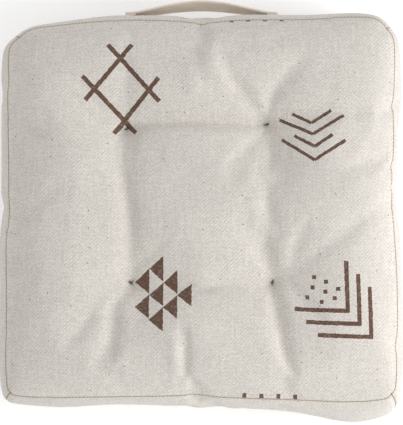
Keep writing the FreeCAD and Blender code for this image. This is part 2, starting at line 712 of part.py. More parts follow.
def write(made):
    os.makedirs(PARTS_FOLDER, exist_ok=True)
    for thing in made:
        thing.Shape.exportStep(os.path.join(PARTS_FOLDER, f"{thing.Label}.step"))
        box = thing.Shape.BoundBox
        print(
            f"{thing.Label}: {len(thing.Shape.Solids)} solid, {thing.Shape.Volume:.0f} mm3, "
            f"x {box.XMin:.1f} {box.XMax:.1f}, y {box.YMin:.1f} {box.YMax:.1f}, "
            f"z {box.ZMin:.1f} {box.ZMax:.1f}"
        )


subparts = build()
doc.recompute()
check(subparts)
write(subparts)
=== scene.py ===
# %% [markdown]
# # A square floor cushion
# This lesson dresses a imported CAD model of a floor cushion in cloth, thread and webbing.
# The real thing is a box-shaped cover of heavy cotton canvas: a printed top panel, a plain
# bottom panel and four border strips, sewn round a fibre filling. Four twine ties pull the
# top and the bottom together, and a webbing handle is tacked to the back border.
# The CAD model says where everything is, so every place and size below starts from it.

# %% Load the frame
import json
import math

import bmesh
import bpy
from mathutils import Matrix, Vector, noise


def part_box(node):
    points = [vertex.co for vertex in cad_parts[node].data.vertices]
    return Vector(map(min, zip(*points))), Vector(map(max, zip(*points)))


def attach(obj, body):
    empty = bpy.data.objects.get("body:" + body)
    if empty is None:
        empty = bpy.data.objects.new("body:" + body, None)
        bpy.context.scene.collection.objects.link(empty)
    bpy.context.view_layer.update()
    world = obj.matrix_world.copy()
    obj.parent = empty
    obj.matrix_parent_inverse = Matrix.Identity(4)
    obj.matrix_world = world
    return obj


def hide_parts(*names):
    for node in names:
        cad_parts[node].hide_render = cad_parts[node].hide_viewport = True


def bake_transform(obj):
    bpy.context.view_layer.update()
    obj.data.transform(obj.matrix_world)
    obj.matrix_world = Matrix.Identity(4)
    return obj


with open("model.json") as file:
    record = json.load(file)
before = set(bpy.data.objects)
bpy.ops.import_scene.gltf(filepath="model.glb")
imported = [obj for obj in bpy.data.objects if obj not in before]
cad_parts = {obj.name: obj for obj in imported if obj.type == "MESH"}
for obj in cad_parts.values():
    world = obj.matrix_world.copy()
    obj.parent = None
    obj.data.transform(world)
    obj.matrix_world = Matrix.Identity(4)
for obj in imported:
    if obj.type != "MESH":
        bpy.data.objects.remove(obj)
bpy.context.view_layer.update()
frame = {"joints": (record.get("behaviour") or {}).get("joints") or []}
MM = 0.001

# %% [markdown]
# ## The camera and the light
# The cushion lies on its bottom, and the camera looks almost straight down at it from the
# front edge. A long lens keeps the square looking square. The light is a soft studio one:
# a broad lamp low on the right that rakes over the folds, and an even pale surrounding. The
# paper under the cushion glows a little too, as on a light table.
# The alternative, one strong lamp overhead, would flatten every crease.

# %% Camera
DISTANCE = 2.0
TILT = math.radians(6.5)
SIGHT = Vector((0.0, -0.0015, 0.05))
camera_data = bpy.data.cameras.new("camera")
camera_data.lens = 152
camera = bpy.data.objects.new("camera", camera_data)
bpy.context.scene.collection.objects.link(camera)
camera.location = SIGHT + DISTANCE * Vector((0, -math.sin(TILT), math.cos(TILT)))
camera.rotation_euler = (SIGHT - camera.location).to_track_quat("-Z", "Y").to_euler()
bpy.context.scene.camera = camera
bpy.context.scene.view_settings.view_transform = "Standard"


# %% Lights and floor
def lamp(name, place, size, power):
    """A square soft box that looks at the cushion."""
    data = bpy.data.lights.new(name, "AREA")
    data.size = size
    data.energy = power
    light = bpy.data.objects.new(name, data)
    light.location = place
    light.rotation_euler = (SIGHT - light.location).to_track_quat("-Z", "Y").to_euler()
    bpy.context.scene.collection.objects.link(light)
    return light


lamp("raking lamp", Vector((1.5, -0.42, 0.82)), 0.9, 17)
world = bpy.data.worlds.new("studio")
bpy.context.scene.world = world
world.use_nodes = True
world.node_tree.nodes["Background"].inputs["Color"].default_value = (1, 1, 1, 1)
world.node_tree.nodes["Background"].inputs["Strength"].default_value = 0.755

bm = bmesh.new()
bmesh.ops.create_grid(bm, x_segments=1, y_segments=1, size=4)
floor_mesh = bpy.data.meshes.new("floor")
bm.to_mesh(floor_mesh)
bm.free()
floor = bpy.data.objects.new("floor", floor_mesh)
bpy.context.scene.collection.objects.link(floor)
print("camera and light are in")


# %% [markdown]
# ## Helpers for materials
# A paint chart gives colours as sRGB hex values, while the renderer wants linear light, so
# one function turns the one into the other. A second one adds a node: its settings, and
# what goes into each of its inputs, which is either a number or another node's output.

# %% Colour and node helpers
def colour(code):
    """A linear colour from an sRGB hex value."""
    parts = [int(code[i:i + 2], 16) / 255 for i in (0, 2, 4)]
    return (*[p / 12.92 if p <= 0.04045 else ((p + 0.055) / 1.055) ** 2.4 for p in parts], 1)


def add(tree, kind, inputs=None, **settings):
    """Adds a node, sets it up and links it. A node given as an input gives its first output."""
    made = tree.nodes.new("ShaderNode" + kind)
    for key, value in settings.items():
        setattr(made, key, value)
    for key, value in (inputs or {}).items():
        if isinstance(value, bpy.types.Node):
            value = value.outputs[0]
        if isinstance(value, bpy.types.NodeSocket):
            tree.links.new(value, made.inputs[key])
        else:
            made.inputs[key].default_value = value
    return made


def blank_material(name):
    """A new material with an empty node tree and its output."""
    made = bpy.data.materials.new(name)
    made.use_nodes = True
    made.node_tree.nodes.clear()
    return made, made.node_tree


def finish_material(tree, shader):
    """Joins the finished shader to the material's output."""
    add(tree, "OutputMaterial", {"Surface": shader})


# %% [markdown]
# ## The canvas
# The cover is undyed cotton in a 2/2 twill: each yarn goes over two and under two, one
# step further along in each row, so that the cloth shows slanting ribs. The weave could
# be a picture, but a picture blurs close by. Here it is worked out: the lengthwise yarn
# and the crosswise yarn each have a rounded height that swells where they pass over, and
# the higher of the two is the one that shows. The yarns are about a millimetre apart, as
# in a heavy hand-loomed canvas. Slubs, the thick places of hand-spun yarn, and a few dark
# flecks of seed husk stop it from looking printed.

# %% Twill weave
YARN = 1.03 * MM
TURN = 2 * math.pi


def twill(tree, cut):
    """The weave's height, and where the lengthwise yarn shows. cut is the cloth's own flat place."""
    yarns = add(tree, "VectorMath", {0: cut, "Scale": 1 / YARN}, operation="SCALE")
    count = add(tree, "SeparateXYZ", {0: yarns})
    heights = []
    for this, other, shift in (("X", "Y", 1), ("Y", "X", 0)):
        own = add(tree, "Math", {0: count.outputs[this]}, operation="FLOOR")
        inside = add(tree, "Math", {0: count.outputs[this]}, operation="FRACT")
        arch = add(tree, "Math", {0: inside, 1: math.pi}, operation="MULTIPLY")
        arch = add(tree, "Math", {0: arch}, operation="SINE")
        along = add(tree, "Math", {0: own, 1: count.outputs[other]}, operation="SUBTRACT")
        along = add(tree, "Math", {0: along, 1: shift}, operation="ADD")
        phase = add(tree, "Math", {0: along, 1: TURN / 4}, operation="MULTIPLY")
        weave = add(tree, "Math", {0: phase}, operation="SINE")
        weave = add(tree, "Math", {0: weave, 1: 0.9}, operation="MULTIPLY")
        heights.append(add(tree, "Math", {0: arch, 1: weave}, operation="ADD"))
    height = add(tree, "Math", {0: heights[0], 1: heights[1]}, operation="MAXIMUM")
    lengthwise = add(tree, "Math", {0: heights[0], 1: heights[1]}, operation="GREATER_THAN")
    return height, lengthwise


def slubs(tree, cut, stretch):
    """Uneven yarn: noise that is drawn out along the yarns."""
    drawn = add(tree, "Mapping", {0: cut, "Scale": stretch})
    return add(tree, "TexNoise", {"Vector": drawn, "Scale": 1.0, "Detail": 2.0})


def husks(tree, cut, spacing, share):
    """A few small dark flecks: the nearest points of a scattered net."""
    drawn = add(tree, "Mapping", {0: cut, "Scale": (1 / spacing, 1 / spacing, 1)})
    net = add(tree, "TexVoronoi", {"Vector": drawn, "Scale": 1.0}, voronoi_dimensions="2D")
    near = add(tree, "Math", {0: net.outputs["Distance"], 1: 0.03}, operation="LESS_THAN")
    pick = add(tree, "SeparateColor", {0: net.outputs["Color"]})
    few = add(tree, "Math", {0: pick.outputs[0], 1: share}, operation="LESS_THAN")
    return add(tree, "Math", {0: near, 1: few}, operation="MULTIPLY")


# %% [markdown]
# ## The printed signs
# Four small brown signs are screen printed on the top panel: a lattice of crossed bars,
# nested chevrons, a stack of triangles, and nested corners with a scatter of dots. Rows of
# little marks run off under the seams, because the panels are cut from a longer length of
# printed cloth. Every sign is made of two stamps, a bar and a triangle. A stamp is put in
# place by a Mapping node of the Texture type, which moves the cloth under the stamp.

# %% Print layout, in millimetres on the flat cloth
# Each bar of the lattice: where its two ends lie.
LATTICE_WIDTH = 5.0
LATTICE = [((-104, 179), (-46, 116)), ((-77, 179), (-128, 116)),
           ((-131, 143), (-72, 82)), ((-47, 142), (-96, 81))]
# Each chevron: its left end, its point and its right end.
CHEVRON_WIDTH = 3.6
CHEVRONS = [((99, 102), (121, 91), (142, 105)), ((85, 96), (123, 78), (156, 99)),
            ((102, 77), (125, 64), (144, 77)), ((88, 73), (125, 49), (158, 71))]
# Three nested corners, each one a step outwards from the one before.
CORNER_WIDTH = 4.7
CORNER, CORNER_STEP = Vector((159, -116)), Vector((12.75, -14))
UPRIGHT, FOOT = Vector((-1, 55)), Vector((-58, 3))
# A sprinkle of dots inside the corners, and rows of marks that run off under the seams.
DOT = 4.4
DOTS = [(123, -78), (136, -83), (121, -89), (149, -91), (135, -94), (115, -100), (145, -101), (131, -105)]
MARK_STEP, MARKS = 18.4, 4
MARK_ROWS = [(34, 211.5), (48, -209)]
# The stack of triangles: columns side by side, each with this many, centred on one line.
COLUMNS = (2, 3, 2, 1)
TRIANGLE_DEPTH, TRIANGLE_HALF = 15.5, 13.7
FIRST_TIP, COLUMN_DROP, ROW_STEP = Vector((-72.5, -96.5)), 0.9, 28.5


def printed_bars():
    """Every bar of the print: its two ends and its width."""
    bars = [(start, end, LATTICE_WIDTH) for start, end in LATTICE]
    for left, point, right in CHEVRONS:
        bars += [(left, point, CHEVRON_WIDTH), (point, right, CHEVRON_WIDTH)]
    for number in range(3):
        corner = CORNER + CORNER_STEP * number
        bars.append((corner + UPRIGHT, corner, CORNER_WIDTH))
        bars.append((corner + Vector((2, 1)), corner + FOOT, CORNER_WIDTH))
    marks = [(x + MARK_STEP * k, y) for x, y in MARK_ROWS for k in range(MARKS)]
    for x, y in DOTS + marks:
        bars.append(((x - DOT / 2, y), (x + DOT / 2, y), DOT))
    return bars


def printed_triangles():
    """The tip of every triangle, column by column."""
    for column, count in enumerate(COLUMNS):
        x = FIRST_TIP.x + TRIANGLE_DEPTH * column
        middle = FIRST_TIP.y - COLUMN_DROP * column
        for row in range(count):
            yield x, middle + ROW_STEP * ((count - 1) / 2 - row)


def bar_stamp(tree, cut, start, end, width):
    """1 inside a straight bar."""
    a, b = Vector(start) * MM, Vector(end) * MM
    middle, run = (a + b) / 2, b - a
    placed = add(tree, "Mapping", {
        0: cut,
        "Location": (*middle, 0),
        "Rotation": (0, 0, math.atan2(run.y, run.x)),
        "Scale": (run.length / 2, width * MM / 2, 1),
    }, vector_type="TEXTURE")
    folded = add(tree, "VectorMath", {0: placed}, operation="ABSOLUTE")
    sides = add(tree, "SeparateXYZ", {0: folded})
    furthest = add(tree, "Math", {0: sides.outputs[0], 1: sides.outputs[1]}, operation="MAXIMUM")
    return add(tree, "Math", {0: furthest, 1: 1.0}, operation="LESS_THAN")


def triangle_stamp(tree, cut, tip, depth, half):
    """1 inside a triangle whose tip points left."""
    placed = add(tree, "Mapping", {
        0: cut,
        "Location": (tip[0] * MM, tip[1] * MM, 0),
        "Scale": (depth * MM, half * MM, 1),
    }, vector_type="TEXTURE")
    sides = add(tree, "SeparateXYZ", {0: placed})
    away = add(tree, "Math", {0: sides.outputs[1]}, operation="ABSOLUTE")
    slope = add(tree, "Math", {0: away, 1: sides.outputs[0]}, operation="SUBTRACT")
    slope = add(tree, "Math", {0: slope, 1: 1.0}, operation="ADD")
    furthest = add(tree, "Math", {0: slope, 1: sides.outputs[0]}, operation="MAXIMUM")
    return add(tree, "Math", {0: furthest, 1: 1.0}, operation="LESS_THAN")


def signs(tree, cut):
    """1 where there is ink."""
    wander = add(tree, "TexNoise", {"Vector": cut, "Scale": 260.0, "Detail": 2.0})
    wander = add(tree, "VectorMath", {0: wander.outputs["Color"], 1: (0.5, 0.5, 0.5)},
                 operation="SUBTRACT")
    wander = add(tree, "VectorMath", {0: wander, "Scale": 1.6 * MM}, operation="SCALE")
    rough = add(tree, "VectorMath", {0: cut, 1: wander}, operation="ADD")
    stamps = [bar_stamp(tree, rough, *bar) for bar in printed_bars()]
    stamps += [triangle_stamp(tree, rough, tip, TRIANGLE_DEPTH, TRIANGLE_HALF)
               for tip in printed_triangles()]
    ink = stamps[0]
    for stamp in stamps[1:]:
        ink = add(tree, "Math", {0: ink, 1: stamp}, operation="MAXIMUM")
    return ink


# %% [markdown]
# The canvas shader puts the layers together. Cotton is matt, with a roughness near 0.9 and
# a little sheen from loose fibre ends. The lengthwise yarns are a touch lighter than the
# crosswise ones. The ink is thin: it sits on the tops of the yarns, and the cloth's own
# colour shows in the gaps between them.

# %% Canvas materials
def canvas_material(name, printed):
    """Undyed 2/2 twill cotton: a matt, slightly uneven cream with slanting ribs."""
    made, tree = blank_material(name)
    cut = add(tree, "UVMap", uv_map="cut")
    height, lengthwise = twill(tree, cut)
    weft_colour, warp_colour = colour("D0CAC2"), colour("D9D4CD")
    base = add(tree, "MixRGB", {0: lengthwise, 1: weft_colour, 2: warp_colour})
    long_slub = slubs(tree, cut, (1 / (1.1 * YARN), 1 / (38 * YARN), 1))
    cross_slub = slubs(tree, cut, (1 / (38 * YARN), 1 / (1.1 * YARN), 1))
    uneven = add(tree, "MixRGB", {0: lengthwise, 1: cross_slub.outputs[0], 2: long_slub.outputs[0]})
    tone = add(tree, "MapRange", {0: uneven, 1: 0.25, 2: 0.75, 3: 0.86, 4: 1.12})
    base = add(tree, "VectorMath", {0: base, "Scale": tone}, operation="SCALE")
    crossing = add(tree, "VectorMath", {0: cut, 1: (2 * YARN, YARN, 1)}, operation="SNAP")
    chance = add(tree, "TexWhiteNoise", {"Vector": crossing}, noise_dimensions="3D")
    chance = add(tree, "MapRange", {0: chance, 1: 0.0, 2: 1.0, 3: 0.9, 4: 1.1})
    base = add(tree, "VectorMath", {0: base, "Scale": chance}, operation="SCALE")
    cloudy = add(tree, "TexNoise", {"Vector": cut, "Scale": 14.0, "Detail": 3.0})
    cloudy = add(tree, "MapRange", {0: cloudy, 1: 0.3, 2: 0.7, 3: 0.97, 4: 1.03})
    base = add(tree, "VectorMath", {0: base, "Scale": cloudy}, operation="SCALE")
    fleck = husks(tree, cut, 21 * MM, 0.22)
    base = add(tree, "MixRGB", {0: fleck, 1: base, 2: colour("6E6152")})
    if printed:
        ink = signs(tree, cut)
        crest = add(tree, "MapRange", {0: height, 1: 0.55, 2: 1.1, 3: 0.7, 4: 1.0})
        missed = add(tree, "MapRange", {0: chance, 1: 1.04, 2: 1.1, 3: 1.0, 4: 0.86})
        ink = add(tree, "Math", {0: ink, 1: crest}, operation="MULTIPLY")
        ink = add(tree, "Math", {0: ink, 1: missed}, operation="MULTIPLY")
        base = add(tree, "MixRGB", {0: ink, 1: base, 2: colour("573722")})
    # Painted shade: the low places of the weave, between the yarns, are darkened a little.
    weave_hollow_shade = add(tree, "MapRange", {0: height, 1: 0.2, 2: 1.2, 3: 0.95, 4: 1.02})
    base = add(tree, "VectorMath", {0: base, "Scale": weave_hollow_shade}, operation="SCALE")
    fuzz = add(tree, "TexNoise", {"Vector": cut, "Scale": 900.0, "Detail": 3.0})
    fuzz = add(tree, "Math", {0: fuzz, 1: 0.5}, operation="MULTIPLY")
    relief = add(tree, "Math", {0: height, 1: uneven}, operation="ADD")
    relief = add(tree, "Math", {0: relief, 1: fuzz}, operation="ADD")
    bump = add(tree, "Bump", {"Height": relief, "Strength": 0.5, "Distance": 0.2 * MM})
    shader = add(tree, "BsdfPrincipled", {
        "Base Color": base, "Roughness": 0.92, "IOR": 1.47, "Specular IOR Level": 0.25,
        "Sheen Weight": 0.15, "Sheen Roughness": 0.6, "Normal": bump,
    })
    finish_material(tree, shader)
    return made


plain_canvas = canvas_material("undyed cotton twill canvas", False)
printed_canvas = canvas_material("screen printed cotton twill canvas", True)
print("canvas nodes", len(plain_canvas.node_tree.nodes), len(printed_canvas.node_tree.nodes))

# %% [markdown]
# ## The thread, the twine, the webbing and the filling
# Sewing thread is spun cotton: tan, with a fine slanting twist. The ties are a dark waxed
# twine. The handle is a woven cotton tape with ribs along it, and the filling is loose
# white fibre that nobody sees, but which is there in every cushion.

# %% Other materials
def yarn_material(name, tint, shade, twist, roughness):
    """Twisted yarn: a slanting wave with its own tint on the raised twists and a darker painted shade in
    the grooves between them, with a soft fibre bump.
    """
    made, tree = blank_material(name)
    place = add(tree, "TexCoord")
    wave = add(tree, "TexWave", {"Vector": place.outputs["Object"], "Scale": twist,
                                 "Distortion": 3.0, "Detail": 1.0}, bands_direction="DIAGONAL")
    # Painted shade: the grooves of the twist, where the wave is low, take the darker colour.
    base = add(tree, "MixRGB", {0: wave.outputs["Fac"], 1: colour(shade), 2: colour(tint)})
    bump = add(tree, "Bump", {"Height": wave.outputs["Fac"], "Strength": 0.5, "Distance": 0.1 * MM})
    shader = add(tree, "BsdfPrincipled", {
        "Base Color": base, "Roughness": roughness, "IOR": 1.47, "Specular IOR Level": 0.3,
        "Sheen Weight": 0.1, "Normal": bump,
    })
    finish_material(tree, shader)
    return made


thread_finish = yarn_material("spun cotton sewing thread", "D0B694", "A98C6A", 260.0, 0.8)
twine_finish = yarn_material("brown waxed twine", "6B5C49", "463B2F", 220.0, 0.6)


def webbing_material(name):
    """Cotton tape: ribs along its length, crossed by fine picks, a warm tan painted lighter than its own
    colour to make up for the shade it lies in, with painted shade in the hollows between ribs and picks.
    """
    made, tree = blank_material(name)
    cut = add(tree, "UVMap", uv_map="cut")
    parts = add(tree, "SeparateXYZ", {0: cut})
    ribs = add(tree, "Math", {0: parts.outputs[1], 1: TURN / (1.6 * MM)}, operation="MULTIPLY")
    ribs = add(tree, "Math", {0: ribs}, operation="SINE")
    picks = add(tree, "Math", {0: parts.outputs[0], 1: TURN / (1.3 * MM)}, operation="MULTIPLY")
    picks = add(tree, "Math", {0: picks}, operation="SINE")
    cross = add(tree, "Math", {0: ribs, 1: picks}, operation="MULTIPLY")
    height = add(tree, "MapRange", {0: cross, 1: -1.0, 2: 1.0, 3: 0.0, 4: 1.0})
    # Painted light and shade: both colours are lighter than the tape's own tan, to make up for the shade
    # that it lies in against the back border, and the darker colour falls in the hollows of the ribs and
    # picks as painted shade.
    base = add(tree, "MixRGB", {0: height, 1: colour("D9CAB8"), 2: colour("F6EDE2")})
    worn = add(tree, "TexNoise", {"Vector": cut, "Scale": 60.0, "Detail": 3.0})
    worn = add(tree, "MapRange", {0: worn, 1: 0.3, 2: 0.7, 3: 0.93, 4: 1.05})
    base = add(tree, "VectorMath", {0: base, "Scale": worn}, operation="SCALE")
    bump = add(tree, "Bump", {"Height": height, "Strength": 0.6, "Distance": 0.25 * MM})
    shader = add(tree, "BsdfPrincipled", {
        "Base Color": base, "Roughness": 0.88, "IOR": 1.47, "Specular IOR Level": 0.3,
        "Sheen Weight": 0.15, "Sheen Roughness": 0.6, "Normal": bump,
    })
    finish_material(tree, shader)
    return made


def filling_material(name):
    """Fibre wadding: off-white, cloudy and without any gloss."""
    made, tree = blank_material(name)
    place = add(tree, "TexCoord")
    cloud = add(tree, "TexNoise", {"Vector": place.outputs["Object"], "Scale": 90.0, "Detail": 6.0})
    base = add(tree, "MixRGB", {0: cloud, 1: colour("D8D6D0"), 2: colour("F4F3EF")})
    bump = add(tree, "Bump", {"Height": cloud, "Strength": 0.8, "Distance": 1.5 * MM})
    shader = add(tree, "BsdfPrincipled", {
        "Base Color": base, "Roughness": 1.0, "Specular IOR Level": 0.1, "Sheen Weight": 0.3,
        "Normal": bump,
    })
    finish_material(tree, shader)
    return made


def floor_material(name):
    """White paper on a light table: matt, with the faintest unevenness and a weak glow."""
    made, tree = blank_material(name)
    place = add(tree, "TexCoord")
    cloud = add(tree, "TexNoise", {"Vector": place.outputs["Object"], "Scale": 3.0, "Detail": 2.0})
    base = add(tree, "MixRGB", {0: cloud, 1: colour("F8F8F8"), 2: colour("FBFBFB")})
    shader = add(tree, "BsdfPrincipled", {"Base Color": base, "Roughness": 0.9,
                                          "Specular IOR Level": 0.1,
                                          "Emission Color": (1, 1, 1, 1), "Emission Strength": 0.2})
    finish_material(tree, shader)
    return made


webbing_finish = webbing_material("woven cotton webbing")
filling_finish = filling_material("fibre wadding")
floor_mesh.materials.append(floor_material("lit studio paper"))

# %% [markdown]
# ## The cover blank
# The cover is modelled as the maker sews it. Two flat panels are laid one over the other,
# and a border joins their edges, which gives a box of cloth. Each corner of the box keeps
# its flat place in a layer named cut, so that the weave and the print stay true to the
# cloth however much it bulges later. A remeshed cushion would lose that.

# %% Sizes of the cover
CELL = 5 * MM
low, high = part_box("top_panel")
HALF_WIDTH, HALF_DEPTH = high.x, high.y
top_low, top_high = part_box("top_seam")
TOP = (top_low.z + top_high.z) / 2
bottom_low, bottom_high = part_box("bottom_seam")
BOTTOM = (bottom_low.z + bottom_high.z) / 2
MIDDLE, HALF_HEIGHT = (TOP + BOTTOM) / 2, (TOP - BOTTOM) / 2
print("cover, half width, half depth, seams", HALF_WIDTH, HALF_DEPTH, BOTTOM, TOP)

PANELS = ("top", "bottom", "front", "back", "left", "right")


def cover_blank():
    """A closed box of cloth. Every vertex remembers its flat place, every face its panel."""
    bm = bmesh.new()
    for height in (TOP, BOTTOM):
        size = Matrix.Diagonal((2 * HALF_WIDTH, 2 * HALF_DEPTH, 1, 1))
        panel = bmesh.ops.create_grid(
            bm, x_segments=round(2 * HALF_WIDTH / CELL), y_segments=round(2 * HALF_DEPTH / CELL),
            size=0.5, matrix=Matrix.Translation((0, 0, height)) @ size)
        if height == BOTTOM:
            bmesh.ops.reverse_faces(bm, faces=list({f for v in panel["verts"] for f in v.link_faces}))
    bmesh.ops.bridge_loops(bm, edges=[e for e in bm.edges if e.is_boundary])
    posts = [e for e in bm.edges if abs(e.verts[0].co.z - e.verts[1].co.z) > HALF_HEIGHT]
    bmesh.ops.subdivide_edges(bm, edges=posts, cuts=round(2 * HALF_HEIGHT / CELL) - 1,
                              use_grid_fill=True)
    cut = bm.verts.layers.float_vector.new("cut")
    panel_of = bm.faces.layers.int.new("panel")
    for v in bm.verts:
        v[cut] = v.co
    for f in bm.faces:
        middle = f.calc_center_median()
        distances = (TOP - middle.z, middle.z - BOTTOM, middle.y + HALF_DEPTH,
                     HALF_DEPTH - middle.y, middle.x + HALF_WIDTH, HALF_WIDTH - middle.x)
        f[panel_of] = distances.index(min(distances))
    bm.normal_update()
    return bm


# %% [markdown]
# ## Stuffing and tying
# Fibre pushed into the box crowns the panels and bows the borders. Each tie then makes a
# dimple, and the slack cloth between the ties gathers into creases that run from tie to
# tie and out to the seams. The creases follow the hand that stuffed the cushion, so they
# are listed one by one: the points that they pass through, how deep they are and how wide.
# A negative depth is a ridge.

# %% Ties and creases, in millimetres
TIES = {
    "back_left": (-83.0, 85.5), "back_right": (70.0, 93.5),
    "front_left": (-76.0, -84.5), "front_right": (77.0, -84.0),
}
BL, BR, FL, FR = (TIES[k] for k in ("back_left", "back_right", "front_left", "front_right"))
CREASES = [
    ((BL, (-60, 94), (0, 95), BR), 9, 7),
    ((BL, (-86, 60), (-80, 0), FL), 7.5, 11),
    ((BR, (76, 60), (74, 30)), 8, 9),
    (((43, 66), (66, -40)), -4.5, 11),
    (((66, -20), FR), 7, 9),
    ((FL, (0, -88), FR), 5, 14),
    ((FR, (86, -135), (98, -205)), 9, 8),
    ((FL, (-96, -110), (-97, -198)), 5, 7),
    (((-101, -114), (-137, -172)), -3, 14),
    (((-30, -122), (-27, -203)), -4, 8),
    (((-19, -118), (-18, -200)), 4, 7),
    (((-6, 188), (38, 117)), -5, 9),
    (((-18, 155), (-2, 117)), -3, 8),
    (((14, 165), BR), 6, 8),
    ((BR, (80, 138)), 5, 7),
    ((BR, (140, 104), (220, 106)), 4, 11),
    (((134, 21), (224, 21)), -4, 16),
    ((FR, (150, -35), (212, 10)), 4, 11),
    (((108, 199), (214, 198)), 4, 5),
    (((-168, 30), (-196, -34)), 1.5, 9),
    ((BL, (-84, 150), (-80, 205)), 3, 12),
    ((FL, (-150, -92), (-210, -88)), 2.5, 14),
    ((BL, (-150, 92), (-210, 90)), 2, 14),
]
DIMPLE_DEPTH, DIMPLE_REACH = 11.5, 22.0
PUCKER_DEPTH, PUCKER_REACH = 5.0, 5.0
FADE = 0.4


def smooth_step(t):
    t = max(0.0, min(1.0, t))
    return t * t * (3 - 2 * t)


def crease_depth(p):
    """How far the creases and the dimples lower a point of the top panel, in millimetres."""
    valley = ridge = 0.0
    for points, deep, wide in CREASES:
        points = [Vector(q) for q in points]
        lengths = [(b - a).length for a, b in zip(points, points[1:])]
        nearest, place, run = 1e9, 0.0, 0.0
        for a, b, length in zip(points, points[1:], lengths):
            t = max(0.0, min(1.0, (p - a).dot(b - a) / length ** 2))
            away = (p - a.lerp(b, t)).length
            if away < nearest:
                nearest, place = away, (run + t * length) / sum(lengths)
            run += length
        if nearest > 3 * wide:
            continue
        if tuple(points[0]) not in TIED:
            deep *= smooth_step(place / FADE)
        if tuple(points[-1]) not in TIED:
            deep *= smooth_step((1 - place) / FADE)
        deep *= math.exp(-0.9 * (nearest / wide) ** 2)
        valley, ridge = max(valley, deep), min(ridge, deep)
    away = min((p - Vector(q)).length for q in TIES.values())
    dimple = DIMPLE_DEPTH * math.exp(-away / DIMPLE_REACH)
    return valley + ridge + dimple + PUCKER_DEPTH * math.exp(-away / PUCKER_REACH)


TIED = {tuple(Vector(q)) for q in TIES.values()}
CROWN = 22 * MM
BOTTOM_CROWN = 8 * MM
WALL_BOW = 8 * MM
FRONT_CORNER_PULL, BACK_CORNER_PULL = 6 * MM, 3 * MM
# A low, broad ripple that keeps the stuffed cover from looking turned on a lathe.
RIPPLES, RIPPLE_HEIGHT, RIPPLE_START = 11, 3 * MM, Vector((3.1, 0.7, 0))


def stuffed(place):
    """Where a point of the blank goes when the cover is stuffed."""
    u, v = place.x / HALF_WIDTH, place.y / HALF_DEPTH
    w = (place.z - MIDDLE) / HALF_HEIGHT
    bow = WALL_BOW * max(0.0, 1 - w * w) ** 0.6
    pull = (FRONT_CORNER_PULL if v < 0 else BACK_CORNER_PULL) * abs(u * v) ** 6
    x = place.x + math.copysign(1, u) * (abs(u) ** 3 * bow - pull)
    y = place.y + math.copysign(1, v) * (abs(v) ** 3 * bow - pull)
    swell = (max(0.0, 1 - abs(u) ** 5) * max(0.0, 1 - abs(v) ** 5)) ** 0.6
    ripple = noise.noise(Vector((x, y, 2 * place.z)) * RIPPLES + RIPPLE_START) * RIPPLE_HEIGHT
    z = place.z
    if w > 0.99:
        dent = crease_depth(Vector((place.x, place.y)) / MM) * MM
        z += CROWN * swell - dent * min(1.0, 1.3 * swell) + ripple * swell
    elif w < -0.99:
        z += -BOTTOM_CROWN * swell + ripple * swell
    else:
        z += ripple / 2
    return Vector((x, y, z))


def new_piece(name, mesh):
    """A new object at the origin, in the scene."""
    piece = bpy.data.objects.new(name, mesh)
    bpy.context.scene.collection.objects.link(piece)
    return piece


blank = cover_blank()
cut_layer = blank.verts.layers.float_vector["cut"]
for v in blank.verts:
    v.co = stuffed(v[cut_layer])
cover_mesh = bpy.data.meshes.new("cover")
blank.to_mesh(cover_mesh)
blank.free()
print("blank", len(cover_mesh.vertices), "vertices")

# %% [markdown]
# ## Letting the cloth settle
# The shape so far is drawn, and drawn folds look stiff. Blender's cloth simulation lets
# the cover settle: a gentle pressure stands for the filling, the ties pull a little
# further in, and the cloth finds its own small puckers between the creases. The way that
# a point may move is capped, so that the cushion keeps its size. The cloth's springs rest
# at the drawn shape, and nothing in it is left to chance, so each run gives the same.

# %% Cloth simulation
FRAMES = 20
MOST = 8 * MM
TOP_PULL, BOTTOM_PULL = 4 * MM, 9 * MM
flat_places = [a.vector.copy() for a in cover_mesh.attributes["cut"].data]


def nearest_to(flat):
    """The cover's vertex that lies nearest to a place on the flat cloth."""
    return min(range(len(flat_places)), key=lambda i: (flat_places[i] - flat).length_squared)


def settle(mesh):
    """Runs the cloth simulation on the cover and returns where each vertex ends up, each move capped."""
    piece = new_piece("settling cover", mesh)
    before = [v.co.copy() for v in mesh.vertices]
    piece.shape_key_add(name="loose")
    tied = piece.shape_key_add(name="tied")
    held = []
    for x, y in TIES.values():
        for level, pull in ((TOP, -TOP_PULL), (BOTTOM, BOTTOM_PULL)):
            i = nearest_to(Vector((x * MM, y * MM, level)))
            tied.data[i].co.z += pull
            held.append(i)
    piece.vertex_groups.new(name="tied").add(held, 1.0, "REPLACE")
    tied.value = 0
    tied.keyframe_insert("value", frame=1)
    tied.value = 1
    tied.keyframe_insert("value", frame=FRAMES // 2)
    cloth = piece.modifiers.new("cloth", "CLOTH")
    cloth.settings.quality = 5
    cloth.settings.mass = 0.3
    cloth.settings.bending_stiffness = 0.5
    cloth.settings.use_pressure = True
    cloth.settings.uniform_pressure_force = 4
    cloth.settings.vertex_group_mass = "tied"
    cloth.settings.effector_weights.gravity = 0
    cloth.collision_settings.use_collision = False
    cloth.point_cache.frame_start, cloth.point_cache.frame_end = 1, FRAMES
    for number in range(1, FRAMES + 1):
        bpy.context.scene.frame_set(number)
    graph = bpy.context.evaluated_depsgraph_get()
    after = [v.co.copy() for v in piece.evaluated_get(graph).data.vertices]
    bpy.data.objects.remove(piece)
    moved = [b - a for a, b in zip(before, after)]
    print("settled", len(held), "held; moved at most", round(max(m.length for m in moved), 4))
    return [a + m * min(1.0, MOST / max(m.length, 1e-9)) for a, m in zip(before, moved)]


places = [v.co.copy() for v in cover_mesh.vertices]
places = settle(cover_mesh.copy())
bpy.context.scene.frame_set(1)

# %% [markdown]
# ## Tugs
# A cushion that has been carried about isn't quite square any more. A tug takes a place on
# it, and draws the cloth around that place a little way, less and less with distance.
# Wear rounds the corners too. Each one is given its own size of round, since the back
# corners of this cushion are softer than the front ones.

